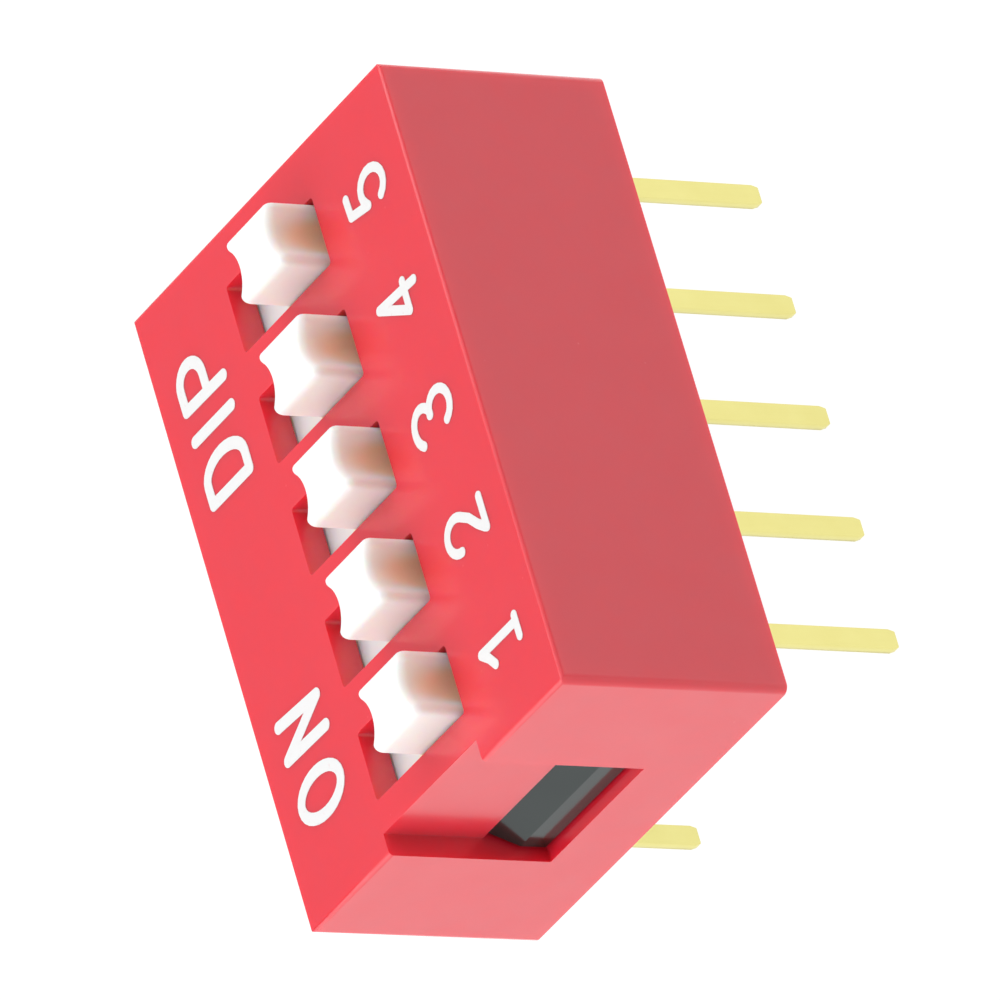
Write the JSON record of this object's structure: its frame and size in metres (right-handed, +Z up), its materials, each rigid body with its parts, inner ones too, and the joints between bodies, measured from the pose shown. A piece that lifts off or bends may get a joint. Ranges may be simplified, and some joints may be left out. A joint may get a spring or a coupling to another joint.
{
  "type": "dip switch",
  "caption": "Upright DIP switch block with raised slide actuators, a one-piece housing latched to its base, and formed pins for a 2.54 mm board grid.",
  "frame": {"origin": "centre of the plane that the housing sits on when it is soldered to a board", "axes": "+X along the row of positions from the first to the last, +Y from the numbered OFF side towards the ON side, +Z up out of the slider face, away from the board"},
  "size_m": [0.014, 0.0098, 0.0101],
  "materials": {
    "housing_red": "moulded red plastic with a soft gloss",
    "base_black": "moulded black plastic with a satin surface",
    "slider_white": "moulded white plastic, slightly translucent",
    "spring_gold": "gold-plated spring strip",
    "pin_gold": "pale gold plating",
    "legend_white": "printed white ink"
  },
  "bodies": {
    "housing": {"cover": "housing_red", "base": "base_black", "terminal_off_1": "pin_gold", "terminal_off_2": "pin_gold", "terminal_off_3": "pin_gold", "terminal_off_4": "pin_gold", "terminal_off_5": "pin_gold", "terminal_on_1": "pin_gold", "terminal_on_2": "pin_gold", "terminal_on_3": "pin_gold", "terminal_on_4": "pin_gold", "terminal_on_5": "pin_gold"},
    "switch_1": {"slider_1": "slider_white", "wiper_1": "spring_gold"},
    "switch_2": {"slider_2": "slider_white", "wiper_2": "spring_gold"},
    "switch_3": {"slider_3": "slider_white", "wiper_3": "spring_gold"},
    "switch_4": {"slider_4": "slider_white", "wiper_4": "spring_gold"},
    "switch_5": {"slider_5": "slider_white", "wiper_5": "spring_gold"}
  },
  "joints": [
    {"name": "slide_1", "type": "slide", "parent": "housing", "child": "switch_1", "axis": [0, 1, 0], "range_m": [0, 0.0015]},
    {"name": "slide_2", "type": "slide", "parent": "housing", "child": "switch_2", "axis": [0, 1, 0], "range_m": [0, 0.0015]},
    {"name": "slide_3", "type": "slide", "parent": "housing", "child": "switch_3", "axis": [0, 1, 0], "range_m": [0, 0.0015]},
    {"name": "slide_4", "type": "slide", "parent": "housing", "child": "switch_4", "axis": [0, 1, 0], "range_m": [0, 0.0015]},
    {"name": "slide_5", "type": "slide", "parent": "housing", "child": "switch_5", "axis": [0, 1, 0], "range_m": [0, 0.0015]}
  ]
}
